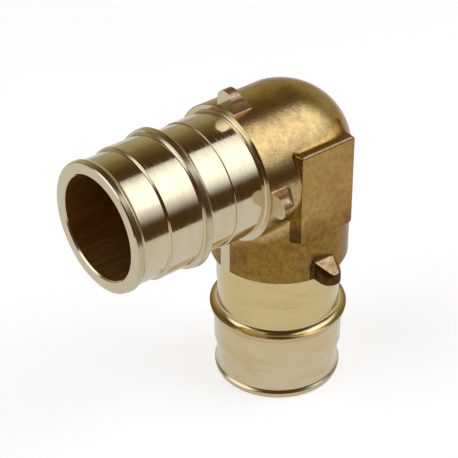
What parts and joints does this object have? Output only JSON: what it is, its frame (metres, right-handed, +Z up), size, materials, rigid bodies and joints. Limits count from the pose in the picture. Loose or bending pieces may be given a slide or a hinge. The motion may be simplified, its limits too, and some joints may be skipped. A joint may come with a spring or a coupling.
{
  "type": "pipe elbow",
  "caption": "Right-angle cast brass pipe elbow for expanded plastic pipe: round-backed body, flat plate on its side, and two turned ribbed spigots with through bores.",
  "frame": {"origin": "centre of the lower spigot's mouth, on its bore axis", "axes": "+Z up the lower leg, -X out of the side leg's mouth, and the flat plate on the body faces -Y"},
  "size_m": [0.0583, 0.0362, 0.0706],
  "materials": {
    "brass": "satin as-cast body with bright turned ends"
  },
  "bodies": {
    "root": {"elbow": "brass"}
  },
  "joints": []
}
